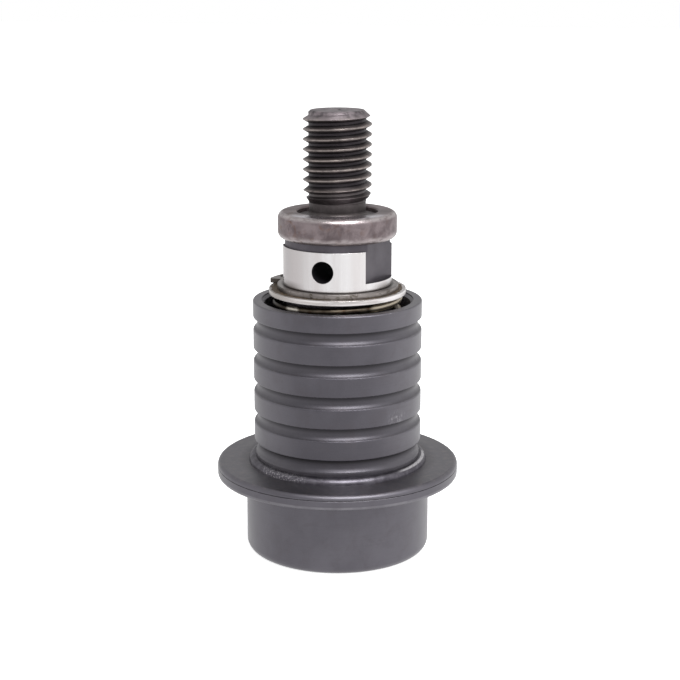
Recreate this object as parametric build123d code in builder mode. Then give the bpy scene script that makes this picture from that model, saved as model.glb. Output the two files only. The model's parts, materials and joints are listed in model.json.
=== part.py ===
from build123d import *
from math import cos, radians, sin, sqrt, tan
import os

# Quick-change drill chuck standing on its skirt: a spindle with a threaded stud on top and a hex
# socket below, and a spring-loaded grip sleeve that is lifted to let three locking balls go.
# Millimetres, +Z up along the spindle's axis, origin on the axis at the skirt's lower rim.
# The outlines are (radius, height) points turned about Z.

# ---- driving dimensions -------------------------------------------------------------------------
INCH = 25.4

# spindle, from the stud's tip down
stud_top = 104.7
thread_r = 5 / 8 * INCH / 2           # 5/8"-11 UNC stud
thread_pitch = INCH / 11
thread_root_r = 6.66
thread_start = 85.9                   # full thread from here up
neck_top = 83.7
neck_r = 6.6
tip_r = 6.2
tip_chamfer = 1.6
crest_height = 99.09                  # height of one crest on the +X side
dimple_r = 0.9
dimple_depth = 0.8
spigot_top = 80.6
spigot_r = 9.4
root_fillet = 1.1
collar_seat = 75.3
shoulder_r = 12.25
band_top = 73.7
body_r = INCH / 2                     # 1" ground body
nose_z = 9.0
nose_chamfer = 0.6
insert_r = 10.0
insert_top = 41.0
plunger_bore_r = 8.6
plunger_bore_top = 60.0

# cross hole and wrench flats
cross_hole_r = 2.55
cross_hole_z = 69.2
flat_half_width = 10.9                # 21.8 mm across the flats
flat_bottom = 66.35
flat_angle = -13.3                    # direction of the first flat's normal, from +X

# retaining rings
ring_t = 1.05
ring_play = 0.02                      # each side of a ring in its groove
small_lug_hole_r = 0.4
small_lug_round = 0.2
upper_groove_r = 11.95
upper_ring_r = 14.15
upper_ring_shift = 0.15               # the band is this far off centre, so it thins towards the lugs
upper_lug_r = 17.05
upper_gap_angle = 146.0               # middle of the upper ring's gap, from +X
upper_lug_offset = 17.5               # degrees from the gap's middle to each lug
upper_half_lug = 14.0
upper_hole_distance = 15.2
upper_hole_r = 0.95
upper_lug_round = 0.75
nose_ring_z = 10.55
nose_groove_r = 11.9
nose_ring_r = 13.8
nose_lug_r = 14.3
nose_half_lug = 7.0
skirt_ring_z = 12.4
skirt_groove_r = 16.7
skirt_ring_r = 17.9
skirt_lug_r = 18.3
skirt_half_lug = 5.0

# thrust collar
collar_r = 13.85
collar_top = 81.6
collar_round = 1.55

# grip sleeve
sleeve_top = 60.72
sleeve_top_r = 19.87
sleeve_taper = 0.05                   # the lowest land is this much smaller in radius than the first
land_count = 5
land_pitch = 7.438
first_land_bottom = 56.72
groove_height = 3.0
groove_depth = 0.95
groove_floor = 1.5
flank_depth = 0.14                    # the flank meets the land's rounded edge this far in
edge_round = 0.35
land_foot_round = 0.2
pocket_r = 17.2
rim_line_r = 17.8
guide_r = body_r + 0.06
pocket_floor = 38.3
ramp_top_z = 28.27
ramp_slope = 0.2125                   # radius gained per millimetre down the unlocking ramp
recess_r = 14.9
ledge_top = 15.9
ledge_bottom = 13.15
sleeve_bottom = 11.2
skirt_bore_r = 14.9
spigot_joint_r = 17.5                 # press fit of the sleeve in the skirt
sleeve_shoulder = 22.5
neck_ring_r = 19.5

# flange and skirt
flange_r = 28.75
flange_top = 21.7
flange_t = 3.5
rim_top_round = 1.0
rim_foot_round = 0.6
rim_groove_z = 20.5                   # fine turned line round the rim
rim_groove_depth = 0.12
skirt_r = 21.85
skirt_inner_r = 18.8
skirt_foot_round = 2.0
skirt_root_round = 1.0
web_bottom = 13.5
bead_r = 1.5
bead_centre_r = 19.75
bead_centre_z = 21.6

# locking balls
ball_r = INCH / 8
ball_z = 27.0
ball_locked_r = 9.575                 # radius of the ball's centre with the sleeve down
ball_hole_r = 3.25
ball_lip_r = 2.95
ball_lip_depth = 8.2                  # the lip keeps the ball out of the socket below this radius
ball_angles = (90.0, 210.0, 330.0)

# hex socket
hex_half_width = 5 / 16 * INCH        # 5/8" across the flats
socket_mouth_r = 9.6
socket_mouth_depth = 1.2

# springs
spring_wire_r = 0.9
spring_mean_r = 14.4
spring_turns = 5.5
ejector_wire_r = 0.6
ejector_mean_r = 4.0
ejector_turns = 9.0

# small parts
washer_t = 1.0
washer_inner_r = 12.95
washer_outer_r = 16.9
top_washer_z = 62.28
top_washer_t = 1.1
top_washer_inner_r = 12.75
top_washer_outer_r = 16.03
upper_ring_z = top_washer_z + top_washer_t + ring_play
stop_washer_t = 1.5
stop_washer_r = 14.3
o_ring_z = 34.45
o_ring_r = 0.73
o_ring_groove_r = 11.2
o_ring_groove_w = 1.7
wiper_z = 14.0
wiper_t = 1.1
wiper_r = 14.0
lock_pin_r = 1.5
lock_pin_z = 37.5
lock_pin_angle = 30.0
lock_pin_start = 8.3
lock_pin_end = 12.4
plunger_flange_r = 8.45
plunger_flange_t = 2.0
plunger_r = 7.0
plunger_bottom = 33.5
plunger_pocket_r = 5.2
plunger_pocket_floor = 37.0


# ---- shared shapes ------------------------------------------------------------------------------
def radial_plane(angle, distance=0.0, height=0.0):
    """Plane facing outward at an angle from +X, with its local Y up."""
    outward = (cos(radians(angle)), sin(radians(angle)), 0)
    origin = (outward[0] * distance, outward[1] * distance, height)
    return Plane(origin=origin, x_dir=(-outward[1], outward[0], 0), z_dir=outward)


def turned(outline):
    """Solid of revolution about Z from a closed (radius, height) outline."""
    with BuildPart() as blank:
        with BuildSketch(Plane.XZ):
            with BuildLine():
                Polyline(*outline, close=True)
            make_face()
        revolve(axis=Axis.Z)
    return blank.part


def tube(inner, outer, bottom, height):
    top = bottom + height
    return turned([(inner, bottom), (outer, bottom), (outer, top), (inner, top)])


def coil(wire_r, mean_r, turns, bottom, top):
    """Compression spring with its ends ground flat at bottom and top."""
    ground = wire_r * 0.5
    rise = top - bottom - 2 * (wire_r - ground)
    start = bottom + wire_r - ground
    with BuildPart() as spring:
        with BuildLine(Plane.XY.offset(start)) as path:
            Helix(pitch=rise / turns, height=rise, radius=mean_r)
        with BuildSketch(Plane(origin=(mean_r, 0, start), x_dir=(1, 0, 0), z_dir=(0, 1, 0))):
            Circle(wire_r)
        sweep(path=path.line, is_frenet=True)
        with BuildSketch(Plane.XY.offset(bottom)):
            Circle(mean_r + 2 * wire_r)
        extrude(amount=top - bottom, mode=Mode.INTERSECT)
    return spring.part


def polar(distance, angle):
    return (distance * cos(radians(angle)), distance * sin(radians(angle)))


def sector(inner, outer, angle, half_angle):
    """Flat face between two radii, half_angle to each side of an angle."""
    first = angle - half_angle
    last = angle + half_angle
    with BuildSketch() as wedge:
        with BuildLine():
            Line(polar(inner, first), polar(outer, first))
            ThreePointArc(polar(outer, first), polar(outer, angle), polar(outer, last))
            Line(polar(outer, last), polar(inner, last))
            ThreePointArc(polar(inner, last), polar(inner, angle), polar(inner, first))
        make_face()
    return wedge.sketch


def retaining_ring(z, groove_r, band_r, shift, lug_r, gap_angle, lug_offset, half_lug, hole, corner_r):
    """External retaining ring: a band open between two rounded lugs; hole is (distance, radius)."""
    lug_angles = (gap_angle - lug_offset, gap_angle + lug_offset)
    lugs = [sector(groove_r, lug_r, angle, half_lug) for angle in lug_angles]
    gap = sector(groove_r / 2, 2 * lug_r, gap_angle, lug_offset - half_lug)
    with BuildPart() as ring:
        with BuildSketch(Plane.XY.offset(z)) as outline:
            add(lugs)
            corners = outline.vertices().filter_by(lambda corner: corner.center().length > lug_r - 0.01)
            fillet(corners, radius=corner_r)
            with Locations(polar(-shift, gap_angle)):
                Circle(band_r)
            Circle(groove_r, mode=Mode.SUBTRACT)
            add(gap, mode=Mode.SUBTRACT)
            with Locations(*[polar(hole[0], angle) for angle in lug_angles]):
                Circle(hole[1], mode=Mode.SUBTRACT)
        extrude(amount=ring_t)
    return ring.part


def ball_holes(inner_r, outer_r, hole_r):
    """Cutters for the radial ball holes between two radii."""
    with BuildPart() as cutters:
        for angle in ball_angles:
            with BuildSketch(radial_plane(angle, inner_r, ball_z)):
                Circle(hole_r)
            extrude(amount=outer_r - inner_r)
    return cutters.part


def lock_pin(start, end):
    with BuildPart() as pin:
        with BuildSketch(radial_plane(lock_pin_angle, start, lock_pin_z)):
            Circle(lock_pin_r)
        extrude(amount=end - start)
    return pin.part


# ---- spindle ------------------------------------------------------------------------------------
def spindle_blank():
    """Turned spindle: stud, spigot, ground body, grooves and the bore from below."""
    upper_groove_top = upper_ring_z + ring_t + ring_play
    upper_groove_bottom = upper_ring_z - ring_play
    nose_groove_top = nose_ring_z + ring_t + ring_play
    nose_groove_bottom = nose_ring_z - ring_play
    with BuildPart() as blank:
        with BuildSketch(Plane.XZ):
            with BuildLine():
                Polyline(
                    (neck_r, spigot_top + root_fillet),
                    (neck_r, neck_top),
                    (thread_r, thread_start),
                    (thread_r, stud_top - tip_chamfer),
                    (tip_r, stud_top),
                    (dimple_r, stud_top),
                    (0, stud_top - dimple_depth),
                    (0, plunger_bore_top),
                    (plunger_bore_r, plunger_bore_top),
                    (plunger_bore_r, insert_top),
                    (insert_r, insert_top),
                    (insert_r, nose_z),
                    (body_r - nose_chamfer, nose_z),
                    (body_r, nose_z + nose_chamfer),
                    (body_r, nose_groove_bottom),
                    (nose_groove_r, nose_groove_bottom),
                    (nose_groove_r, nose_groove_top),
                    (body_r, nose_groove_top),
                    (body_r, o_ring_z - o_ring_groove_w / 2),
                    (o_ring_groove_r, o_ring_z - o_ring_groove_w / 2),
                    (o_ring_groove_r, o_ring_z + o_ring_groove_w / 2),
                    (body_r, o_ring_z + o_ring_groove_w / 2),
                    (body_r, upper_groove_bottom),
                    (upper_groove_r, upper_groove_bottom),
                    (upper_groove_r, upper_groove_top),
                    (body_r, upper_groove_top),
                    (body_r, band_top),
                    (shoulder_r, band_top),
                    (shoulder_r, collar_seat),
                    (spigot_r, collar_seat),
                    (spigot_r, spigot_top - 0.3),
                    (spigot_r - 0.3, spigot_top),
                    (neck_r + root_fillet, spigot_top),
                )
                RadiusArc(
                    (neck_r + root_fillet, spigot_top), (neck_r, spigot_top + root_fillet), root_fillet
                )
            make_face()
        revolve(axis=Axis.Z)
    return blank.part


def thread_cutter():
    """Helical 60 degree groove, starting beside the plain neck and running out past the tip."""
    groove_z = crest_height + thread_pitch / 2
    turns_below = int((groove_z - spigot_top - root_fillet) / thread_pitch)
    start = groove_z - turns_below * thread_pitch
    rise = stud_top - start + thread_pitch
    depth = thread_r - thread_root_r + 0.4
    root_half = (7 / 8 * thread_pitch - 2 * (thread_r - thread_root_r) * tan(radians(30))) / 2
    mouth_half = root_half + depth * tan(radians(30))
    with BuildPart() as cutter:
        with BuildLine() as path:
            Helix(pitch=thread_pitch, height=rise, radius=thread_root_r, center=(0, 0, start))
        with BuildSketch(Plane(origin=(thread_root_r, 0, start), x_dir=(1, 0, 0), z_dir=(0, -1, 0))):
            with BuildLine():
                Polyline(
                    (0, -root_half), (depth, -mouth_half), (depth, mouth_half), (0, root_half), close=True
                )
            make_face()
        sweep(path=path.line, is_frenet=True)
    return cutter.part


def make_spindle():
    with BuildPart() as spindle:
        add(spindle_blank())
        add(thread_cutter(), mode=Mode.SUBTRACT)
        with BuildSketch(Plane.XZ):
            with Locations((0, cross_hole_z)):
                Circle(cross_hole_r)
        extrude(amount=2 * body_r, both=True, mode=Mode.SUBTRACT)
        for angle in (flat_angle, flat_angle + 180):
            with BuildSketch(radial_plane(angle, flat_half_width)):
                with Locations((0, (flat_bottom + collar_seat) / 2)):
                    Rectangle(2 * body_r, collar_seat - flat_bottom)
            extrude(amount=body_r, mode=Mode.SUBTRACT)
        add(ball_holes(ball_lip_depth, body_r + 1, ball_hole_r), mode=Mode.SUBTRACT)
        add(lock_pin(lock_pin_start, body_r + 1), mode=Mode.SUBTRACT)
    return spindle.part


def make_thrust_collar():
    face_r = collar_r - collar_round
    with BuildPart() as collar:
        with BuildSketch(Plane.XZ):
            with BuildLine():
                Polyline(
                    (face_r, collar_top),
                    (spigot_r + 0.3, collar_top),
                    (spigot_r, collar_top - 0.3),
                    (spigot_r, collar_seat),
                    (face_r, collar_seat),
                )
                RadiusArc((face_r, collar_seat), (collar_r, collar_seat + collar_round), -collar_round)
                Line((collar_r, collar_seat + collar_round), (collar_r, collar_top - collar_round))
                RadiusArc((collar_r, collar_top - collar_round), (face_r, collar_top), -collar_round)
            make_face()
        revolve(axis=Axis.Z)
    return collar.part


def make_upper_ring():
    hole = (upper_hole_distance, upper_hole_r)
    return retaining_ring(
        upper_ring_z, upper_groove_r, upper_ring_r, upper_ring_shift, upper_lug_r, upper_gap_angle,
        upper_lug_offset, upper_half_lug, hole, upper_lug_round,
    )


def make_lower_ring(z, groove_r, band_r, lug_r, half_lug):
    """Small retaining ring with its gap at +Y."""
    hole = ((groove_r + lug_r) / 2, small_lug_hole_r)
    return retaining_ring(z, groove_r, band_r, 0, lug_r, 90, 2 * half_lug, half_lug, hole, small_lug_round)


# ---- sleeve assembly ----------------------------------------------------------------------------
def land_radius(index):
    return sleeve_top_r - sleeve_taper * index / (land_count - 1)


def make_grip_sleeve():
    """Sleeve with grip lands outside, spring pocket, guide, unlocking ramp and lower ledge inside."""
    rim_edge_r = sleeve_top_r - edge_round
    ramp_bottom = ramp_top_z - (recess_r - guide_r) / ramp_slope
    wiper_top = wiper_z + wiper_t
    ring_top = skirt_ring_z + ring_t + ring_play
    ring_bottom = skirt_ring_z - ring_play
    with BuildPart() as sleeve:
        with BuildSketch(Plane.XZ):
            with BuildLine():
                land_top = sleeve_top - edge_round
                RadiusArc((rim_edge_r, sleeve_top), (sleeve_top_r, land_top), edge_round)
                for index in range(land_count):
                    last = index == land_count - 1
                    land_r = land_radius(index)
                    next_r = neck_ring_r if last else land_radius(index + 1)
                    land_bottom = first_land_bottom - index * land_pitch
                    next_top = land_bottom - groove_height
                    floor_r = land_r - groove_depth
                    floor_end = land_bottom - groove_floor
                    flank_end = (next_r - flank_depth, next_top + flank_depth)
                    foot = (land_r - land_foot_round, land_bottom)
                    Line((land_r, land_top), (land_r, land_bottom + land_foot_round))
                    RadiusArc((land_r, land_bottom + land_foot_round), foot, land_foot_round)
                    Line(foot, (floor_r, land_bottom))
                    Line((floor_r, land_bottom), (floor_r, floor_end))
                    TangentArc((floor_r, floor_end), flank_end, tangent=(0, -1))
                    land_top = next_top - edge_round
                    RadiusArc(flank_end, (next_r, land_top), edge_round * 2)
                Polyline(
                    (neck_ring_r, land_top),
                    (neck_ring_r, sleeve_shoulder),
                    (spigot_joint_r, sleeve_shoulder),
                    (spigot_joint_r, ring_top),
                    (skirt_groove_r, ring_top),
                    (skirt_groove_r, ring_bottom),
                    (spigot_joint_r, ring_bottom),
                    (spigot_joint_r, sleeve_bottom),
                    (skirt_bore_r, sleeve_bottom),
                    (skirt_bore_r, ledge_bottom),
                    (guide_r, ledge_bottom),
                    (guide_r, wiper_z),
                    (wiper_r, wiper_z),
                    (wiper_r, wiper_top),
                    (guide_r, wiper_top),
                    (guide_r, ledge_top),
                    (recess_r, ledge_top),
                    (recess_r, ramp_bottom),
                    (guide_r, ramp_top_z),
                    (guide_r, pocket_floor),
                    (pocket_r, pocket_floor),
                    (pocket_r, sleeve_top - 0.9),
                    (rim_line_r, sleeve_top - 0.3),
                    (rim_line_r, sleeve_top),
                    (rim_edge_r, sleeve_top),
                )
            make_face()
        revolve(axis=Axis.Z)
    return sleeve.part


def make_flange_skirt():
    """Flange with a fine line turned round its rim, and the skirt that shrouds the socket."""
    flange_bottom = flange_top - flange_t
    foot_inner = skirt_inner_r + 0.2
    rim_top = (flange_r - rim_top_round, flange_top)
    rim_foot = (flange_r - rim_foot_round, flange_bottom)
    with BuildPart() as skirt:
        with BuildSketch(Plane.XZ):
            with BuildLine():
                Line((spigot_joint_r, flange_top), rim_top)
                RadiusArc(rim_top, (flange_r, flange_top - rim_top_round), rim_top_round)
                Polyline(
                    (flange_r, flange_top - rim_top_round),
                    (flange_r, rim_groove_z + rim_groove_depth),
                    (flange_r - rim_groove_depth, rim_groove_z),
                    (flange_r, rim_groove_z - rim_groove_depth),
                    (flange_r, flange_bottom + rim_foot_round),
                )
                RadiusArc((flange_r, flange_bottom + rim_foot_round), rim_foot, rim_foot_round)
                Line(rim_foot, (skirt_r + skirt_root_round, flange_bottom))
                RadiusArc(
                    (skirt_r + skirt_root_round, flange_bottom),
                    (skirt_r, flange_bottom - skirt_root_round),
                    -skirt_root_round,
                )
                Line((skirt_r, flange_bottom - skirt_root_round), (skirt_r, skirt_foot_round))
                RadiusArc((skirt_r, skirt_foot_round), (skirt_r - skirt_foot_round, 0), skirt_foot_round)
                Polyline(
                    (skirt_r - skirt_foot_round, 0),
                    (foot_inner, 0),
                    (skirt_inner_r, foot_inner - skirt_inner_r),
                    (skirt_inner_r, web_bottom - 0.5),
                    (skirt_inner_r - 0.5, web_bottom),
                    (spigot_joint_r, web_bottom),
                    (spigot_joint_r, flange_top),
                )
            make_face()
        revolve(axis=Axis.Z)
    return skirt.part


def make_joint_bead():
    """Brazed bead around the sleeve where it enters the flange."""
    top = (bead_centre_r, bead_centre_z + bead_r)
    foot_r = bead_centre_r + sqrt(bead_r ** 2 - (flange_top - bead_centre_z) ** 2)
    neck_z = bead_centre_z + sqrt(bead_r ** 2 - (bead_centre_r - neck_ring_r) ** 2)
    with BuildPart() as bead:
        with BuildSketch(Plane.XZ):
            with BuildLine():
                Polyline(
                    (foot_r, flange_top),
                    (spigot_joint_r, flange_top),
                    (spigot_joint_r, sleeve_shoulder),
                    (neck_ring_r, sleeve_shoulder),
                    (neck_ring_r, neck_z),
                )
                ThreePointArc((neck_ring_r, neck_z), top, (foot_r, flange_top))
            make_face()
        revolve(axis=Axis.Z)
    return bead.part


# ---- lock, socket and ejector -------------------------------------------------------------------
def make_hex_insert():
    mouth_end = nose_z + socket_mouth_depth
    mouth_end_r = socket_mouth_r - socket_mouth_depth
    mouth = turned([(0, nose_z), (socket_mouth_r, nose_z), (mouth_end_r, mouth_end), (0, mouth_end)])
    with BuildPart() as insert:
        with BuildSketch(Plane.XY.offset(nose_z)):
            Circle(insert_r)
            RegularPolygon(hex_half_width, 6, major_radius=False, mode=Mode.SUBTRACT)
        extrude(amount=insert_top - nose_z)
        add(mouth, mode=Mode.SUBTRACT)
        add(ball_holes(hex_half_width - 1, insert_r, ball_lip_r), mode=Mode.SUBTRACT)
        add(ball_holes(ball_lip_depth, insert_r, ball_hole_r), mode=Mode.SUBTRACT)
        add(lock_pin(lock_pin_start, insert_r), mode=Mode.SUBTRACT)
    return insert.part


def make_ball(angle):
    centre = (ball_locked_r * cos(radians(angle)), ball_locked_r * sin(radians(angle)), ball_z)
    with BuildPart() as ball:
        with Locations(centre):
            Sphere(ball_r)
    return ball.part


def make_o_ring():
    with BuildPart() as seal:
        with BuildSketch(Plane.XZ):
            with Locations((o_ring_groove_r + o_ring_r + 0.01, o_ring_z)):
                Circle(o_ring_r)
        revolve(axis=Axis.Z)
    return seal.part


def make_plunger():
    """Ejector plunger: its flange rests on the hex insert and its pocket takes the spring."""
    flange_top_z = insert_top + plunger_flange_t
    return turned([
        (0, plunger_bottom),
        (plunger_r - 0.8, plunger_bottom),
        (plunger_r, plunger_bottom + 0.8),
        (plunger_r, insert_top),
        (plunger_flange_r, insert_top),
        (plunger_flange_r, flange_top_z),
        (plunger_pocket_r, flange_top_z),
        (plunger_pocket_r, plunger_pocket_floor),
        (0, plunger_pocket_floor),
    ])


def make_pieces():
    pieces = {
        "spindle": make_spindle(),
        "thrust_collar": make_thrust_collar(),
        "upper_retaining_ring": make_upper_ring(),
        "sleeve_spring": coil(
            spring_wire_r, spring_mean_r, spring_turns, pocket_floor + washer_t, top_washer_z
        ),
        "spring_top_washer": tube(top_washer_inner_r, top_washer_outer_r, top_washer_z, top_washer_t),
        "spring_seat_washer": tube(washer_inner_r, washer_outer_r, pocket_floor, washer_t),
        "grip_sleeve": make_grip_sleeve(),
        "flange_skirt": make_flange_skirt(),
        "joint_bead": make_joint_bead(),
        "skirt_retaining_ring": make_lower_ring(
            skirt_ring_z, skirt_groove_r, skirt_ring_r, skirt_lug_r, skirt_half_lug
        ),
        "wiper_ring": tube(guide_r, wiper_r, wiper_z, wiper_t),
        "nose_stop_washer": tube(guide_r, stop_washer_r, nose_ring_z + ring_t + ring_play, stop_washer_t),
        "nose_retaining_ring": make_lower_ring(
            nose_ring_z, nose_groove_r, nose_ring_r, nose_lug_r, nose_half_lug
        ),
        "guide_o_ring": make_o_ring(),
        "hex_drive_insert": make_hex_insert(),
        "insert_lock_pin": lock_pin(lock_pin_start, lock_pin_end),
        "ejector_plunger": make_plunger(),
        "ejector_spring": coil(
            ejector_wire_r, ejector_mean_r, ejector_turns, plunger_pocket_floor, plunger_bore_top
        ),
    }
    for number, angle in enumerate(ball_angles, start=1):
        pieces[f"locking_ball_{number}"] = make_ball(angle)
    return pieces


os.makedirs("parts", exist_ok=True)
for name, piece in make_pieces().items():
    piece.label = name
    export_step(piece, f"parts/{name}.step")
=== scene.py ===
import json
from math import cos, pi, radians, sin, tau

import bpy
from mathutils import Euler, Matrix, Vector


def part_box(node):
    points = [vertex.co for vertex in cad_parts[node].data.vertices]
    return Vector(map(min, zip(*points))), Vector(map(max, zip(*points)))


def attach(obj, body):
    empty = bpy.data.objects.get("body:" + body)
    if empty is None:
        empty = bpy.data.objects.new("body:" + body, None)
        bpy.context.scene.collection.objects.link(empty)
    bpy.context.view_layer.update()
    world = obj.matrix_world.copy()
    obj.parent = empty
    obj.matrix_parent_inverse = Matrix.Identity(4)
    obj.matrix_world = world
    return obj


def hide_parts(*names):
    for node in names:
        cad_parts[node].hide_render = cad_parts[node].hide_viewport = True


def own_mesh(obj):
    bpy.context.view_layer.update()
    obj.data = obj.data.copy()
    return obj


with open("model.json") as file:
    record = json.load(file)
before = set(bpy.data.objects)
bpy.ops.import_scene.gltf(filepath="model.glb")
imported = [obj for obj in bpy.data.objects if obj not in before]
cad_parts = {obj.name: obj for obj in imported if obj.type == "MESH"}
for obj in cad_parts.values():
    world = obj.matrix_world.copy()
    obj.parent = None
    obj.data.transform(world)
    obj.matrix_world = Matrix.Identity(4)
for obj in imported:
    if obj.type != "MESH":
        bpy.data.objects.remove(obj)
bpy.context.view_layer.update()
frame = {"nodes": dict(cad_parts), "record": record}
nodes = frame["nodes"]

MM = 0.001


# ---- places read from the frame ----------------------------------------------------------------
def low(node):
    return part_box(node)[0]


def high(node):
    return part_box(node)[1]


def mount(name):
    return next(entry for entry in frame["record"]["mounts"] if entry["name"] == name)


SLEEVE_R = high("grip_sleeve").x
SPRING_TOP = low("spring_top_washer").z
SPRING_BOTTOM = high("spring_seat_washer").z
WASHER_TOP = high("spring_top_washer").z
WASHER_R = high("spring_top_washer").x
CLIP_TOP = high("upper_retaining_ring").z
EJECTOR_BOTTOM = low("ejector_spring").z
EJECTOR_TOP = high("ejector_spring").z
BAND_R = 12.7 * MM                    # ground body
COLLAR_R = high("thrust_collar").x
COLLAR_BOTTOM = low("thrust_collar").z
COLLAR_TOP = high("thrust_collar").z
STUD_TOP = high("spindle").z
THREAD_START = 85.9 * MM
LAND_BOTTOM = 56.72 * MM              # lower edge of the sleeve's first land
LAND_PITCH = 7.438 * MM
FLANGE_R = high("flange_skirt").x
FLANGE_BOTTOM = 18.2 * MM
RIM_LINE_Z = 20.5 * MM                # fine line turned round the flange's rim
BEAD_CROWN_R = 20.25 * MM
WIRE_R = 0.9 * MM
COIL_R = 14.4 * MM
EJECTOR_WIRE_R = 0.6 * MM
EJECTOR_COIL_R = 4.0 * MM

# ---- light and camera settings -----------------------------------------------------------------
FLOOR_LIFT = 0.75
FLOOR_CARD = (0.95, 0.9, 1.1)         # floor seen by the steel: ahead, left and right
WORLD_FILL = (0.55, 0.85, 1.15)       # surroundings seen by the steel: ahead, left and right
KEY_POWER = 9.4
CAMERA_AZIMUTH = 15.7                 # degrees from -Y towards +X
CAMERA_DISTANCE = 356.1 * MM
CAMERA_HEIGHT = 137.5 * MM
CAMERA_TILT = 13.71
CAMERA_SIDEWAYS = 0.60 * MM
SENSOR_WIDTH = 36
FOCAL_LENGTH = 82.091
CAMERA_RIGHT = (cos(radians(CAMERA_AZIMUTH)), sin(radians(CAMERA_AZIMUTH)), 0)
TOWARDS_CAMERA = (sin(radians(CAMERA_AZIMUTH)), -cos(radians(CAMERA_AZIMUTH)), 0)


# ---- material graph ----------------------------------------------------------------------------
def linear(red, green, blue):
    """Linear colour from 0-255 display values."""
    def channel(value):
        value = value / 255
        return value / 12.92 if value <= 0.04045 else ((value + 0.055) / 1.055) ** 2.4
    return (channel(red), channel(green), channel(blue), 1.0)


class Graph:
    """One material's node tree, in object space, which is the row frame in metres."""

    def __init__(self, name, metallic=1.0):
        self.material = bpy.data.materials.new(name)
        self.material.use_nodes = True
        self.tree = self.material.node_tree
        self.tree.nodes.clear()
        output = self.tree.nodes.new("ShaderNodeOutputMaterial")
        self.shader = self.tree.nodes.new("ShaderNodeBsdfPrincipled")
        self.tree.links.new(self.shader.outputs["BSDF"], output.inputs["Surface"])
        self.shader.inputs["Metallic"].default_value = metallic
        self.place = self.tree.nodes.new("ShaderNodeTexCoord").outputs["Object"]
        separate = self.tree.nodes.new("ShaderNodeSeparateXYZ")
        self.tree.links.new(self.place, separate.inputs[0])
        self.x, self.y, self.z = separate.outputs
        self.radius = self.math("SQRT", self.math("ADD", self.math("MULTIPLY", self.x, self.x),
                                                  self.math("MULTIPLY", self.y, self.y)))
        self.geometry = self.tree.nodes.new("ShaderNodeNewGeometry")

    def put(self, socket, value):
        if isinstance(value, bpy.types.NodeSocket):
            self.tree.links.new(value, socket)
        else:
            socket.default_value = value

    def math(self, operation, first, second=0.0, clamp=False):
        node = self.tree.nodes.new("ShaderNodeMath")
        node.operation = operation
        node.use_clamp = clamp
        self.put(node.inputs[0], first)
        self.put(node.inputs[1], second)
        return node.outputs[0]

    def vector(self, x, y, z):
        node = self.tree.nodes.new("ShaderNodeCombineXYZ")
        for socket, value in zip(node.inputs, (x, y, z)):
            self.put(socket, value)
        return node.outputs[0]

    def step(self, value, low_value, high_value):
        """0 below low_value, 1 above high_value, smooth between; low may be above high."""
        node = self.tree.nodes.new("ShaderNodeMapRange")
        node.interpolation_type = "SMOOTHSTEP"
        flipped = low_value > high_value
        self.put(node.inputs["Value"], value)
        node.inputs["From Min"].default_value = min(low_value, high_value)
        node.inputs["From Max"].default_value = max(low_value, high_value)
        node.inputs["To Min"].default_value = 1.0 if flipped else 0.0
        node.inputs["To Max"].default_value = 0.0 if flipped else 1.0
        return node.outputs[0]

    def band(self, value, start, end, soft):
        """1 between start and end, falling to 0 over soft on each side."""
        return self.math("MULTIPLY", self.step(value, start - soft, start), self.step(value, end + soft, end))

    def noise(self, per_mm, detail=4.0, roughness=0.6, stretch=(1, 1, 1), offset=0.0, distortion=0.0):
        """Fractal noise in 0..1, per_mm cells a millimetre, stretched along X, Y and Z."""
        mapping = self.tree.nodes.new("ShaderNodeMapping")
        mapping.inputs["Location"].default_value = (offset, offset * 0.37, offset * 0.71)
        mapping.inputs["Scale"].default_value = tuple(factor * 1000 for factor in stretch)
        self.tree.links.new(self.place, mapping.inputs["Vector"])
        return self.noise_at(mapping.outputs[0], per_mm, detail, roughness, distortion)

    def noise_at(self, place, scale, detail=4.0, roughness=0.6, distortion=0.0):
        node = self.tree.nodes.new("ShaderNodeTexNoise")
        self.put(node.inputs["Vector"], place)
        node.inputs["Scale"].default_value = scale
        node.inputs["Detail"].default_value = detail
        node.inputs["Roughness"].default_value = roughness
        node.inputs["Distortion"].default_value = distortion
        return node.outputs["Fac"]

    def turned(self, per_mm, along=0.35, offset=0.0):
        """Fine lines round the axis, as a lathe tool leaves them."""
        angle = self.math("ARCTAN2", self.y, self.x)
        place = self.vector(
            self.math("MULTIPLY", self.radius, 1000 * per_mm),
            self.math("MULTIPLY", angle, along),
            self.math("MULTIPLY", self.z, 1000 * per_mm),
        )
        shifted = self.tree.nodes.new("ShaderNodeVectorMath")
        shifted.operation = "ADD"
        self.tree.links.new(place, shifted.inputs[0])
        shifted.inputs[1].default_value = (offset, offset, offset)
        return self.noise_at(shifted.outputs[0], 1.0, 3.0, 0.65)

    def mix(self, factor, first, second):
        node = self.tree.nodes.new("ShaderNodeMix")
        node.data_type = "RGBA"
        self.put(node.inputs["Factor"], factor)
        self.put(node.inputs[6], first)
        self.put(node.inputs[7], second)
        return node.outputs[2]

    def blend(self, factor, first, second):
        node = self.tree.nodes.new("ShaderNodeMix")
        node.data_type = "FLOAT"
        self.put(node.inputs["Factor"], factor)
        self.put(node.inputs[2], first)
        self.put(node.inputs[3], second)
        return node.outputs[0]

    def edge(self, size, sharp=0.04):
        """1 on edges of the mesh, within size metres of them."""
        bevel = self.tree.nodes.new("ShaderNodeBevel")
        bevel.samples = 6
        bevel.inputs["Radius"].default_value = size
        dot = self.tree.nodes.new("ShaderNodeVectorMath")
        dot.operation = "DOT_PRODUCT"
        self.tree.links.new(bevel.outputs[0], dot.inputs[0])
        self.tree.links.new(self.geometry.outputs["Normal"], dot.inputs[1])
        return self.step(dot.outputs["Value"], 1.0 - sharp * 0.1, 1.0 - sharp * 3)

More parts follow.
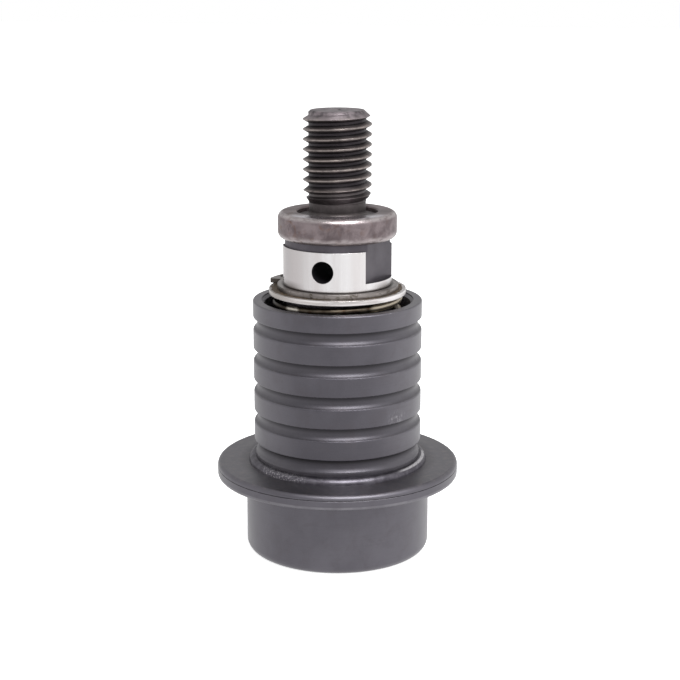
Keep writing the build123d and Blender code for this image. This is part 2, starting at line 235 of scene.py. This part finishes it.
    def upward(self, start=0.4, end=0.8):
        """1 where the surface faces up."""
        separate = self.tree.nodes.new("ShaderNodeSeparateXYZ")
        self.tree.links.new(self.geometry.outputs["Normal"], separate.inputs[0])
        return self.step(separate.outputs[2], start, end)

    def bump(self, height, distance, strength=1.0, rounding=0.0):
        node = self.tree.nodes.new("ShaderNodeBump")
        node.inputs["Distance"].default_value = distance
        node.inputs["Strength"].default_value = strength
        self.put(node.inputs["Height"], height)
        if rounding:
            bevel = self.tree.nodes.new("ShaderNodeBevel")
            bevel.samples = 6
            bevel.inputs["Radius"].default_value = rounding
            self.tree.links.new(bevel.outputs[0], node.inputs["Normal"])
        self.put(self.shader.inputs["Normal"], node.outputs[0])

    def colour(self, value):
        self.put(self.shader.inputs["Base Color"], value)

    def roughness(self, value):
        self.put(self.shader.inputs["Roughness"], value)


# ---- materials ---------------------------------------------------------------------------------
def oxide_steel(name, dark, light, side_sheen, rubbed_edges, hollows, scuffs_and_sheen):
    """Dark oiled oxide on turned steel, mottled, with painted sheen on its sides, darker hollows (painted
    shade in the sleeve's grooves), rubbed edges, and scuffs on the sleeve or a painted reflection on the
    skirt's rim lip.
    """
    g = Graph(name)
    cloud = g.noise(0.09, 5, 0.55)
    grain = g.noise(9.0, 2, 0.7, offset=3)
    lines = g.turned(6.0, 0.6, 2)
    base = g.mix(g.step(cloud, 0.35, 0.68), dark, light)
    # Painted sheen: the sides, as seen from the camera, painted lighter.
    side = g.step(g.math("ABSOLUTE", along(g, CAMERA_RIGHT)), 7 * MM, 15 * MM)
    base = g.mix(g.math("MULTIPLY", side, side_sheen), base, linear(132, 129, 136))
    base = g.mix(g.math("MULTIPLY", g.step(grain, 0.45, 0.75), 0.4), base, linear(104, 101, 108))
    base = g.mix(g.math("MULTIPLY", g.step(lines, 0.5, 0.8), 0.2), base, linear(58, 55, 61))
    smudge = g.step(g.noise(0.22, 6, 0.7, offset=19, distortion=0.5), 0.46, 0.7)
    base = g.mix(g.math("MULTIPLY", smudge, 0.22), base, linear(74, 66, 70))
    dust = g.math("MULTIPLY", g.upward(0.6, 0.95), g.step(g.noise(0.6, 6, 0.7, offset=9), 0.42, 0.72))
    base = g.mix(g.math("MULTIPLY", dust, 0.35), base, linear(140, 130, 130))
    # Scuffs on the sleeve; on the skirt, the painted reflection along the rim's lower lip.
    base = g.mix(g.math("MULTIPLY", scuffs_and_sheen(g), 0.7), base, linear(160, 157, 162))
    rub = g.math("MULTIPLY", rubbed_edges(g), g.step(g.noise(0.8, 5, 0.65, offset=5), 0.38, 0.66))
    base = g.mix(g.math("MULTIPLY", rub, 0.6), base, linear(150, 147, 152))
    # Painted shade in the sleeve's grooves; on the skirt, darker round the bead and in the rim line.
    hollow_darkening = hollows(g)
    base = g.mix(hollow_darkening, base, linear(36, 33, 37))
    g.colour(base)
    rough = g.blend(g.step(cloud, 0.3, 0.7), 0.40, 0.50)
    rough = g.blend(g.math("MULTIPLY", rub, 0.6), rough, 0.28)
    g.roughness(g.blend(hollow_darkening, rough, 0.62))
    g.put(g.shader.inputs["Coat Weight"], g.blend(hollow_darkening, 0.8, 0.35))
    g.shader.inputs["Coat Roughness"].default_value = 0.42
    relief = g.math("ADD", g.math("MULTIPLY", grain, 0.6), g.math("MULTIPLY", lines, 0.4))
    g.bump(relief, 0.00002, 0.6, rounding=0.00015)
    return g.material


def sleeve_edges(g):
    """Outer edges of the lands and the rim."""
    return g.math("MULTIPLY", g.edge(0.00022), g.step(g.radius, SLEEVE_R - 0.5 * MM, SLEEVE_R - 0.25 * MM))


def sleeve_hollows(g):
    """Painted shade in the grooves, darkest in the corner under each land and most under the lowest land."""
    place = g.math("FRACT", g.math("DIVIDE", g.math("SUBTRACT", LAND_BOTTOM, g.z), LAND_PITCH))
    corner = g.step(place, 0.20, 0.03)
    groove = g.step(g.radius, SLEEVE_R - 0.12 * MM, SLEEVE_R - 0.45 * MM)
    below_rim = g.step(g.z, LAND_BOTTOM + 0.05 * MM, LAND_BOTTOM)
    neck = g.step(g.z, LAND_BOTTOM - 3.9 * LAND_PITCH, LAND_BOTTOM - 4 * LAND_PITCH)
    depth = g.math("ADD", g.math("MULTIPLY", corner, g.blend(neck, 0.5, 0.72)), 0.28)
    return g.math("MULTIPLY", g.math("MULTIPLY", depth, groove), below_rim)


def sleeve_scuffs(g):
    """A rubbed patch on the fourth land, on the right in front."""
    height = LAND_BOTTOM - 3 * LAND_PITCH + 1.2 * MM
    across = g.math("SUBTRACT", along(g, CAMERA_RIGHT), 13.6 * MM)
    up = g.math("SUBTRACT", g.z, height)
    distance = g.math("SQRT", g.math("ADD", g.math("MULTIPLY", across, across), g.math("MULTIPLY", up, up)))
    in_front = g.step(along(g, TOWARDS_CAMERA), 0, 2 * MM)
    patch = g.math("MULTIPLY", g.step(distance, 2.6 * MM, 0.6 * MM), in_front)
    specks = g.step(g.noise(2.6, 4, 0.75, stretch=(1, 1, 0.4), offset=17), 0.5, 0.64)
    return g.math("MULTIPLY", patch, specks)


def skirt_edges(g):
    """Outer edges of the flange and the skirt."""
    return g.edge(0.0003)


def rim_lip_sheen(g):
    """Painted reflection: a light line along the lower lip of the flange's rim, uneven along its length."""
    lip = g.math("MULTIPLY", g.step(g.radius, FLANGE_R - 0.45 * MM, FLANGE_R - 0.2 * MM),
                 g.band(g.z, FLANGE_BOTTOM + 0.4 * MM, FLANGE_BOTTOM + 0.75 * MM, 0.15 * MM))
    return g.math("MULTIPLY", lip, g.blend(g.step(g.noise(0.3, 4, 0.6, offset=31), 0.35, 0.65), 0.25, 0.55))


def skirt_hollows(g):
    """Darker on the flange's top round the bead, and in the fine line turned round the rim."""
    by_bead = g.math("MULTIPLY", g.step(g.radius, 24.5 * MM, 21.0 * MM), g.upward(0.6, 0.95))
    line = g.math("MULTIPLY", g.step(g.radius, FLANGE_R - 0.01 * MM, FLANGE_R - 0.06 * MM),
                  g.band(g.z, RIM_LINE_Z - 0.12 * MM, RIM_LINE_Z + 0.12 * MM, 0.03 * MM))
    return g.math("MAXIMUM", g.math("MULTIPLY", by_bead, 0.3), g.math("MULTIPLY", line, 0.85))


def along(g, direction):
    """Distance from the axis along a level direction, in metres."""
    return g.math("ADD", g.math("MULTIPLY", g.x, direction[0]), g.math("MULTIPLY", g.y, direction[1]))


def ground_spindle():
    """Black-oxide stud and flats with worn crests, and a bright ground band with painted shade on its left,
    low on its sides and above the circlip; the cross hole's wall is painted near black as painted shade.
    """
    g = Graph("spindle_steel")
    cloud = g.noise(0.14, 5, 0.6)
    grain = g.noise(7.0, 3, 0.7, offset=4)
    stud = g.mix(g.step(cloud, 0.35, 0.7), linear(78, 73, 73), linear(104, 98, 99))
    on_thread = g.step(g.z, THREAD_START, THREAD_START + 1 * MM)
    root = g.math("MULTIPLY", g.step(g.radius, 7.3 * MM, 6.75 * MM), on_thread)
    stud = g.mix(g.math("MULTIPLY", root, 0.75), stud, linear(40, 37, 43))
    flats = g.mix(g.step(cloud, 0.35, 0.7), linear(88, 84, 90), linear(102, 98, 104))
    oxide = g.mix(g.step(g.z, COLLAR_BOTTOM, COLLAR_TOP), flats, stud)
    oxide = g.mix(g.math("MULTIPLY", g.step(grain, 0.5, 0.8), 0.4), oxide, linear(116, 110, 110))
    near_thread = g.step(g.z, THREAD_START - 2 * MM, THREAD_START)
    crest = g.math("MULTIPLY", g.step(g.radius, 7.35 * MM, 7.85 * MM), near_thread)
    worn = g.math("MULTIPLY", crest, g.step(g.noise(0.7, 5, 0.65, offset=8), 0.2, 0.7))
    oxide = g.mix(g.math("MULTIPLY", worn, 0.9), oxide, linear(168, 158, 154))
    tip = g.math("MULTIPLY", g.step(g.z, STUD_TOP - 1.9 * MM, STUD_TOP - 1.6 * MM),
                 g.step(g.noise(0.5, 5, 0.6, offset=11), 0.2, 0.7))
    oxide = g.mix(g.math("MULTIPLY", tip, 0.85), oxide, linear(158, 148, 152))

    hole = mount("cross_hole")
    hole_r = hole["dims"]["r_mm"] * MM
    up = g.math("SUBTRACT", g.z, hole["pos_m"][2])
    hole_distance = g.math("SQRT", g.math("ADD", g.math("MULTIPLY", g.x, g.x), g.math("MULTIPLY", up, up)))
    outside_hole = g.step(hole_distance, hole_r - 0.01 * MM, hole_r + 0.02 * MM)
    ground_zone = g.band(g.z, WASHER_TOP - 2 * MM, COLLAR_BOTTOM - 1.62 * MM, 0.02 * MM)
    on_surface = g.step(g.radius, BAND_R - 0.06 * MM, BAND_R - 0.02 * MM)
    ground = g.math("MULTIPLY", g.math("MULTIPLY", ground_zone, on_surface), outside_hole)
    streak = g.noise(0.3, 3, 0.55, stretch=(1, 1, 0.04), offset=6)
    fine = g.noise(5.0, 3, 0.7, stretch=(0.25, 0.25, 1), offset=14)
    bright = g.mix(g.step(streak, 0.3, 0.7), linear(224, 219, 219), linear(240, 238, 239))
    bright = g.mix(g.math("MULTIPLY", g.step(fine, 0.45, 0.8), 0.12), bright, linear(190, 185, 187))
    across = along(g, CAMERA_RIGHT)
    # Painted shade: the band darker on its left, as seen from the camera.
    left_band_shade = g.math("MULTIPLY", g.step(across, -3 * MM, -12.5 * MM), g.blend(streak, 0.45, 1.0))
    bright = g.mix(left_band_shade, bright, linear(166, 160, 160))
    # Painted shade: darker low on both sides, just above the circlip.
    side = g.step(g.math("ABSOLUTE", across), 7 * MM, 11 * MM)
    low_zone = g.step(g.z, CLIP_TOP + 2.2 * MM, CLIP_TOP + 0.6 * MM)
    bright = g.mix(g.math("MULTIPLY", g.math("MULTIPLY", side, low_zone), 0.7), bright, linear(112, 105, 102))
    # Painted shade in the corner where the band meets the circlip.
    corner = g.step(g.z, CLIP_TOP + 0.45 * MM, CLIP_TOP + 0.1 * MM)
    bright = g.mix(g.math("MULTIPLY", corner, 0.85), bright, linear(70, 62, 58))
    base = g.mix(ground, oxide, bright)
    # Painted shade: the cross hole's wall painted near black.
    base = g.mix(outside_hole, linear(20, 18, 22), base)
    g.colour(base)
    rough = g.blend(ground, g.blend(g.math("MULTIPLY", worn, 0.7), 0.46, 0.32), g.blend(fine, 0.18, 0.28))
    g.roughness(g.blend(outside_hole, 0.9, rough))
    relief = g.blend(ground, g.math("ADD", g.math("MULTIPLY", grain, 0.7), g.math("MULTIPLY", cloud, 0.8)),
                     g.math("MULTIPLY", fine, 0.12))
    g.bump(relief, 0.00003, 0.7, rounding=0.00015)
    return g.material


def worn_collar():
    """Blotchy brown-grey oxide, rubbed bright along the rounded edges, with a painted reflection on the front
    of its top face.
    """
    g = Graph("collar_steel")
    blotch = g.noise(0.28, 6, 0.62, distortion=0.4)
    rust = g.noise(0.42, 6, 0.6, offset=7, distortion=0.6)
    grain = g.noise(6.0, 3, 0.7, offset=2)
    across = along(g, CAMERA_RIGHT)
    brown_side = g.blend(g.step(across, -2 * MM, 8 * MM), 1.0, 0.35)
    base = g.mix(g.step(blotch, 0.32, 0.68), linear(106, 95, 97), linear(146, 134, 136))
    stain = g.math("MULTIPLY", g.step(rust, 0.5, 0.72), brown_side)
    base = g.mix(g.math("MULTIPLY", stain, 0.6), base, linear(112, 82, 64))
    base = g.mix(g.math("MULTIPLY", g.step(grain, 0.5, 0.8), 0.3), base, linear(82, 74, 77))
    scratch = g.noise(0.6, 5, 0.6, stretch=(1, 1, 3), offset=5)
    outer = g.step(g.radius, COLLAR_R - 1.5 * MM, COLLAR_R - 0.5 * MM)
    above = g.step(g.math("SUBTRACT", COLLAR_TOP, g.z), 1.3 * MM, 0.35 * MM)
    wave = g.math("MULTIPLY", g.math("SUBTRACT", g.noise(0.35, 3, 0.5, offset=25), 0.5), 1.4 * MM)
    below = g.step(g.math("ADD", g.math("SUBTRACT", g.z, COLLAR_BOTTOM), wave), 1.9 * MM, 0.9 * MM)
    edges = g.math("MAXIMUM", above, g.math("MULTIPLY", below, 0.65))
    rim = g.math("MULTIPLY", g.math("MULTIPLY", edges, outer), g.step(scratch, 0.2, 0.6))
    base = g.mix(g.math("MULTIPLY", rim, 0.85), base, linear(206, 198, 198))
    # Painted reflection: the front of the top face painted bright.
    front = g.step(along(g, TOWARDS_CAMERA), 5 * MM, 9.5 * MM)
    painted_sheen = g.math("MULTIPLY", g.math("MULTIPLY", front, g.upward(0.85, 0.98)), g.step(blotch, 0.2, 0.55))
    base = g.mix(painted_sheen, base, linear(222, 216, 222))
    g.colour(base)
    g.roughness(g.blend(g.math("MAXIMUM", rim, painted_sheen), g.blend(blotch, 0.36, 0.5), 0.24))
    relief = g.math("ADD", g.math("MULTIPLY", blotch, 1.6), g.math("MULTIPLY", grain, 0.5))
    g.bump(relief, 0.00004, 0.8)
    return g.material


def stamped_ring():
    """Bright stamped spring steel, darker towards the left, with brown grime caked on its upper face."""
    g = Graph("ring_steel")
    streak = g.turned(1.2, 1.5, 4)
    base = g.mix(g.step(streak, 0.3, 0.7), linear(200, 194, 192), linear(246, 242, 242))
    across = along(g, CAMERA_RIGHT)
    base = g.mix(g.step(across, -8 * MM, -14 * MM), base, linear(176, 170, 166))
    grime = g.noise(0.42, 6, 0.68, offset=2, distortion=0.9)
    spots = g.noise(1.6, 4, 0.7, offset=12)
    near_body = g.step(g.radius, WASHER_R - 0.25 * MM, WASHER_R - 1.5 * MM)
    wiped = g.step(g.math("ABSOLUTE", g.math("SUBTRACT", across, 1.5 * MM)), 5.0 * MM, 3.0 * MM)
    corner = g.step(across, -8 * MM, -13 * MM)
    extra = g.math("ADD", g.math("MULTIPLY", near_body, 0.5), g.math("MULTIPLY", corner, 0.12))
    amount = g.math("ADD", grime, g.math("SUBTRACT", extra, g.math("MULTIPLY", wiped, 0.2)))
    caked = g.math("MULTIPLY", g.upward(), g.step(amount, 0.6, 0.74))
    brown = g.mix(g.step(spots, 0.4, 0.7), linear(38, 31, 24), linear(98, 80, 58))
    base = g.mix(caked, base, brown)
    g.colour(base)
    g.roughness(g.blend(caked, g.blend(streak, 0.22, 0.34), 0.62))
    g.put(g.shader.inputs["Metallic"], g.blend(caked, 1.0, 0.15))
    crust = g.math("MULTIPLY", g.math("MULTIPLY", caked, spots), 1.5)
    relief = g.math("ADD", crust, g.math("MULTIPLY", streak, 0.08))
    g.bump(relief, 0.00006, 0.8, rounding=0.00012)
    return g.material


def grimy_clip():
    """Grey circlip steel, grimy on its upper face, with painted shade in its corner with the body, and darker
    on the side faces of its lug.
    """
    g = Graph("clip_steel")
    streak = g.turned(1.2, 1.5, 4)
    base = g.mix(g.step(streak, 0.3, 0.7), linear(126, 120, 117), linear(164, 158, 155))
    grime = g.noise(0.6, 6, 0.68, offset=5, distortion=0.8)
    caked = g.math("MULTIPLY", g.step(grime, 0.5, 0.68), g.step(along(g, CAMERA_RIGHT), -14.5 * MM, -9 * MM))
    base = g.mix(g.math("MULTIPLY", caked, 0.8), base, linear(70, 62, 50))
    # Darker on the side faces of the lug.
    lug_side = g.math("MULTIPLY", g.step(along(g, CAMERA_RIGHT), -11 * MM, -13 * MM), g.upward(0.7, 0.4))
    base = g.mix(g.math("MULTIPLY", lug_side, 0.8), base, linear(46, 40, 34))
    # Painted shade in the corner with the body.
    inner = g.math("MULTIPLY", g.step(g.radius, BAND_R + 0.55 * MM, BAND_R + 0.2 * MM), g.upward(0.6, 0.9))
    base = g.mix(g.math("MULTIPLY", inner, 0.75), base, linear(58, 51, 46))
    g.colour(base)
    g.roughness(g.blend(caked, g.blend(streak, 0.26, 0.4), 0.6))
    relief = g.math("ADD", g.math("MULTIPLY", grime, 0.8), g.math("MULTIPLY", streak, 0.2))
    g.bump(relief, 0.00004, 0.8, rounding=0.00012)
    return g.material


def oiled_wire():
    """Dark oily spring wire, with painted highlights at both sides of the front and painted shade, near
    black, at the far left.
    """
    g = Graph("spring_steel")
    patina = g.noise(0.5, 5, 0.65, offset=1)
    base = g.mix(g.step(patina, 0.35, 0.65), linear(62, 54, 46), linear(96, 88, 77))
    base = g.mix(g.step(g.noise(0.9, 4, 0.6, offset=21), 0.55, 0.72), base, linear(70, 52, 36))
    across = along(g, CAMERA_RIGHT)
    # Painted highlight on the left of the front.
    base = g.mix(g.band(across, -11 * MM, -9.5 * MM, 1 * MM), base, linear(206, 200, 190))
    # Painted highlight on the right of the front.
    base = g.mix(g.step(across, 7 * MM, 9 * MM), base, linear(186, 176, 158))
    # Painted shade: near black at the far left.
    base = g.mix(g.step(across, -11.5 * MM, -12.5 * MM), base, linear(48, 40, 32))
    g.colour(base)
    g.roughness(g.blend(patina, 0.3, 0.46))
    g.bump(g.noise(5.0, 3, 0.7, offset=3), 0.00001, 0.6)
    return g.material


def rough_bead():
    """Smooth dark bead, with painted glints on a spattered stretch in front on the left and a painted
    highlight along its crown on the right.
    """
    g = Graph("bead_steel")
    lumps = g.noise(0.5, 4, 0.6, offset=5, distortion=0.4)
    sparkle = g.noise(2.6, 4, 0.75, offset=16)
    angle = g.math("MULTIPLY", g.math("ARCTAN2", g.y, g.x), 180 / pi)
    spattered = g.band(angle, -125, -102, 12)
    painted_sheen = g.band(angle, -24, 14, 9)
    base = g.mix(g.step(lumps, 0.35, 0.65), linear(82, 79, 86), linear(104, 101, 108))
    # Painted glints on the spatter.
    glint_specks = g.math("MULTIPLY", g.math("MULTIPLY", spattered, 0.6), g.step(sparkle, 0.52, 0.62))
    # Painted highlight along the crown on the right.
    crown = g.band(g.radius, BEAD_CROWN_R, BEAD_CROWN_R + 0.35 * MM, 0.25 * MM)
    shine = g.math("MULTIPLY", g.math("MULTIPLY", painted_sheen, crown), g.step(sparkle, 0.32, 0.5))
    painted_glints = g.math("MAXIMUM", glint_specks, shine)
    base = g.mix(painted_glints, base, linear(210, 207, 211))
    g.colour(base)
    g.roughness(g.blend(painted_glints, 0.41, 0.26))
    rough_parts = g.math("MULTIPLY", sparkle, g.math("ADD", g.math("MULTIPLY", spattered, 0.9), 0.06))
    g.bump(g.math("ADD", g.math("MULTIPLY", lumps, 0.25), rough_parts), 0.00012, 0.9)
    return g.material


def hardened_steel(name, dark, light, smooth, coarse):
    """Plain hardened steel with turning lines."""
    g = Graph(name)
    lines = g.turned(3.0, 1.0, 6)
    cloud = g.noise(0.3, 5, 0.6, offset=2)
    base = g.mix(g.step(cloud, 0.35, 0.65), dark, light)
    base = g.mix(g.math("MULTIPLY", g.step(lines, 0.5, 0.8), 0.3), base, dark)
    rub = g.math("MULTIPLY", g.edge(0.0002), 0.6)
    base = g.mix(rub, base, linear(190, 188, 190))
    g.colour(base)
    g.roughness(g.blend(cloud, smooth, coarse))
    g.bump(lines, 0.00002, 0.5, rounding=0.00015)
    return g.material


def oiled_felt():
    """Brown felt, soaked unevenly."""
    g = Graph("felt", metallic=0.0)
    fibres = g.noise(2.5, 6, 0.75, offset=4, distortion=1.2)
    g.colour(g.mix(g.step(fibres, 0.3, 0.7), linear(58, 50, 40), linear(122, 108, 86)))
    g.roughness(g.blend(fibres, 0.75, 0.95))
    g.bump(fibres, 0.0001, 0.9)
    return g.material


def seal_rubber():
    """Black rubber with a faintly uneven skin."""
    g = Graph("seal_rubber", metallic=0.0)
    skin = g.noise(1.8, 4, 0.6, offset=4)
    g.colour(g.mix(g.step(skin, 0.3, 0.7), linear(24, 24, 25), linear(44, 43, 44)))
    g.roughness(g.blend(skin, 0.42, 0.62))
    g.bump(skin, 0.00003, 0.6)
    return g.material


def turned_brass():
    """Tarnished brass with turning lines."""
    g = Graph("plunger_brass")
    lines = g.turned(2.5, 1.0, 9)
    tarnish = g.noise(0.4, 5, 0.6, offset=6)
    base = g.mix(g.step(tarnish, 0.35, 0.7), linear(196, 160, 88), linear(150, 112, 60))
    g.colour(g.mix(g.math("MULTIPLY", lines, 0.3), base, linear(222, 192, 122)))
    g.roughness(g.blend(tarnish, 0.2, 0.38))
    g.bump(lines, 0.00002, 0.5, rounding=0.00015)
    return g.material


def ball_steel():
    """Bright polished ball steel with a little haze."""
    g = Graph("ball_steel")
    haze = g.noise(0.8, 4, 0.6, offset=6)
    g.colour(g.mix(g.step(haze, 0.4, 0.7), linear(222, 222, 226), linear(184, 182, 184)))
    g.roughness(g.blend(haze, 0.06, 0.16))
    g.bump(haze, 0.00001, 0.3)
    return g.material


def paint(material, *names):
    for name in names:
        nodes[name].data.materials.clear()
        nodes[name].data.materials.append(material)


ring_steel = stamped_ring()
spring_steel = oiled_wire()
insert_steel = hardened_steel("insert_steel", linear(70, 70, 76), linear(112, 112, 118), 0.24, 0.4)
washer_steel = hardened_steel("washer_steel", linear(104, 102, 102), linear(156, 152, 150), 0.22, 0.36)
paint(ground_spindle(), "spindle")
paint(worn_collar(), "thrust_collar")
paint(ring_steel, "spring_top_washer", "nose_retaining_ring", "skirt_retaining_ring")
paint(grimy_clip(), "upper_retaining_ring")
sleeve_steel = oxide_steel(
    "oxide_steel", linear(78, 75, 83), linear(88, 85, 93), 0.3, sleeve_edges, sleeve_hollows, sleeve_scuffs
)
skirt_steel = oxide_steel(
    "oxide_steel_skirt", linear(90, 87, 95), linear(101, 98, 106), 0.0, skirt_edges, skirt_hollows, rim_lip_sheen
)
paint(sleeve_steel, "grip_sleeve")
paint(skirt_steel, "flange_skirt")
paint(rough_bead(), "joint_bead")
paint(oiled_felt(), "wiper_ring")
paint(seal_rubber(), "guide_o_ring")
paint(turned_brass(), "ejector_plunger")
paint(insert_steel, "hex_drive_insert", "insert_lock_pin")
paint(washer_steel, "spring_seat_washer", "nose_stop_washer")
paint(ball_steel(), "locking_ball_1", "locking_ball_2", "locking_ball_3")


# ---- springs, with closed and ground ends ------------------------------------------------------
def closed_spring(name, wire_r, mean_r, bottom, top, closed_turns, active_turns, end_angle):
    """Compression coil between two levels, its end turns wound flat; end_angle is where the top end is."""
    ease = 0.35
    steps_per_turn = 96
    sides = 20
    total = closed_turns * 2 + active_turns
    steps = int(total * steps_per_turn)
    weights = []
    for index in range(steps + 1):
        turn = index / steps * total
        inner = min(turn, total - turn)
        weights.append(min(max((inner - closed_turns + ease) / (2 * ease), 0.0), 1.0))
    rise = (top - bottom - 2 * wire_r) / sum(weights)
    vertices = []
    height = bottom + wire_r
    for index, weight in enumerate(weights):
        angle = end_angle - (steps - index) / steps * total * tau
        outward = Vector((cos(angle), sin(angle), 0))
        centre = outward * mean_r + Vector((0, 0, height))
        height += weight * rise
        for side in range(sides):
            around = tau * side / sides
            point = centre + outward * (wire_r * cos(around)) + Vector((0, 0, wire_r * sin(around)))
            point.z = min(max(point.z, bottom), top)
            vertices.append(point)
    faces = []
    for index in range(steps):
        for side in range(sides):
            a = index * sides + side
            b = index * sides + (side + 1) % sides
            faces.append((a, b, b + sides, a + sides))
    faces.append(tuple(range(sides))[::-1])
    faces.append(tuple(steps * sides + side for side in range(sides)))
    mesh = bpy.data.meshes.new(name)
    mesh.from_pydata(vertices, [], faces)
    mesh.shade_smooth()
    mesh.materials.append(spring_steel)
    piece = bpy.data.objects.new(name, mesh)
    bpy.context.scene.collection.objects.link(piece)
    return piece


def fit_spring(piece, node):
    """Puts a coil in a CAD spring's place: hangs it on the spindle's body, hides the CAD spring and gives the
    coil its own mesh.
    """
    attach(piece, "spindle")
    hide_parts(node)
    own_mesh(piece)


sleeve_coil = closed_spring(
    "sleeve_spring_coil", WIRE_R, COIL_R, SPRING_BOTTOM, SPRING_TOP, 0.6, 5.3, radians(200)
)
fit_spring(sleeve_coil, "sleeve_spring")
ejector_coil = closed_spring(
    "ejector_spring_coil", EJECTOR_WIRE_R, EJECTOR_COIL_R, EJECTOR_BOTTOM, EJECTOR_TOP, 0.9, 7.6, radians(20)
)
fit_spring(ejector_coil, "ejector_spring")


# ---- stage, light and camera -------------------------------------------------------------------
def side_glow(tree, direction, ahead, left, right):
    """Strength of the surroundings: ahead in the middle, rising towards each side of the camera's view."""
    swing = tree.nodes.new("ShaderNodeVectorMath")
    swing.operation = "DOT_PRODUCT"
    tree.links.new(direction, swing.inputs[0])
    swing.inputs[1].default_value = CAMERA_RIGHT
    ramp = tree.nodes.new("ShaderNodeFloatCurve")
    curve = ramp.mapping.curves[0]
    ramp.mapping.use_clip = False
    curve.points[0].location = (0.0, left)
    curve.points[1].location = (1.0, right)
    curve.points.new(0.5, ahead)
    ramp.mapping.update()
    scale = tree.nodes.new("ShaderNodeMath")
    scale.operation = "MULTIPLY_ADD"
    scale.inputs[1].default_value = 0.5
    scale.inputs[2].default_value = 0.5
    tree.links.new(swing.outputs["Value"], scale.inputs[0])
    tree.links.new(scale.outputs[0], ramp.inputs["Value"])
    return ramp.outputs[0]


def make_floor():
    """White sweep: bright to the camera, with a faint contact shadow, and a steady card for the steel."""
    size = 3.0
    mesh = bpy.data.meshes.new("floor")
    corners = [(-size, -size, 0), (size, -size, 0), (size, size, 0), (-size, size, 0)]
    mesh.from_pydata(corners, [], [(0, 1, 2, 3)])
    material = bpy.data.materials.new("studio_floor")
    material.use_nodes = True
    tree = material.node_tree
    tree.nodes.clear()
    output = tree.nodes.new("ShaderNodeOutputMaterial")
    paper = tree.nodes.new("ShaderNodeBsdfDiffuse")
    paper.inputs["Color"].default_value = (0.9, 0.9, 0.9, 1)
    lift = tree.nodes.new("ShaderNodeEmission")
    lift.inputs["Strength"].default_value = FLOOR_LIFT
    card = tree.nodes.new("ShaderNodeEmission")
    outward = tree.nodes.new("ShaderNodeVectorMath")
    outward.operation = "NORMALIZE"
    tree.links.new(tree.nodes.new("ShaderNodeNewGeometry").outputs["Position"], outward.inputs[0])
    tree.links.new(side_glow(tree, outward.outputs[0], *FLOOR_CARD), card.inputs["Strength"])
    seen = tree.nodes.new("ShaderNodeAddShader")
    path = tree.nodes.new("ShaderNodeLightPath")
    choose = tree.nodes.new("ShaderNodeMixShader")
    tree.links.new(paper.outputs[0], seen.inputs[0])
    tree.links.new(lift.outputs[0], seen.inputs[1])
    tree.links.new(path.outputs["Is Camera Ray"], choose.inputs[0])
    tree.links.new(card.outputs[0], choose.inputs[1])
    tree.links.new(seen.outputs[0], choose.inputs[2])
    tree.links.new(choose.outputs[0], output.inputs["Surface"])
    mesh.materials.append(material)
    floor = bpy.data.objects.new("floor", mesh)
    floor.location.z = -0.02 * MM
    bpy.context.scene.collection.objects.link(floor)


def softbox(name, azimuth, elevation, distance, size, power):
    """Rectangular soft light aimed at the chuck; azimuth is measured like the camera's."""
    around = radians(azimuth)
    up = radians(elevation)
    aim = Vector((0, 0, 60 * MM))
    away = Vector((sin(around) * cos(up), -cos(around) * cos(up), sin(up)))
    light = bpy.data.lights.new(name, "AREA")
    light.shape = "RECTANGLE"
    light.size, light.size_y = size
    light.energy = power
    lamp = bpy.data.objects.new(name, light)
    lamp.location = aim + away * distance
    lamp.rotation_euler = (-away).to_track_quat("-Z", "Y").to_euler()
    bpy.context.scene.collection.objects.link(lamp)


def make_world():
    world = bpy.data.worlds.new("studio")
    world.use_nodes = True
    tree = world.node_tree
    tree.nodes.clear()
    path = tree.nodes.new("ShaderNodeLightPath")
    seen = tree.nodes.new("ShaderNodeBackground")
    seen.inputs["Color"].default_value = (1, 1, 1, 1)
    seen.inputs["Strength"].default_value = 1.0
    fill = tree.nodes.new("ShaderNodeBackground")
    fill.inputs["Color"].default_value = (1, 1, 1, 1)
    sky = tree.nodes.new("ShaderNodeTexCoord").outputs["Generated"]
    tree.links.new(side_glow(tree, sky, *WORLD_FILL), fill.inputs["Strength"])
    choose = tree.nodes.new("ShaderNodeMixShader")
    output = tree.nodes.new("ShaderNodeOutputWorld")
    tree.links.new(path.outputs["Is Camera Ray"], choose.inputs[0])
    tree.links.new(fill.outputs[0], choose.inputs[1])
    tree.links.new(seen.outputs[0], choose.inputs[2])
    tree.links.new(choose.outputs[0], output.inputs["Surface"])
    bpy.context.scene.world = world


def make_camera():
    """Standing in front and a little to the right, looking down on the chuck."""
    camera = bpy.data.cameras.new("camera")
    camera.sensor_width = SENSOR_WIDTH
    camera.lens = FOCAL_LENGTH
    camera.clip_start = 0.01
    camera.clip_end = 20
    holder = bpy.data.objects.new("camera", camera)
    level = Vector(TOWARDS_CAMERA) * CAMERA_DISTANCE + Vector(CAMERA_RIGHT) * CAMERA_SIDEWAYS
    holder.location = level + Vector((0, 0, CAMERA_HEIGHT))
    holder.rotation_euler = Euler((pi / 2 - radians(CAMERA_TILT), 0, radians(CAMERA_AZIMUTH)))
    bpy.context.scene.collection.objects.link(holder)
    bpy.context.scene.camera = holder


make_floor()
make_world()
make_camera()
softbox("key", CAMERA_AZIMUTH + 20, 52, 0.9, (0.6, 0.42), KEY_POWER)
bpy.context.scene.view_settings.view_transform = "Standard"
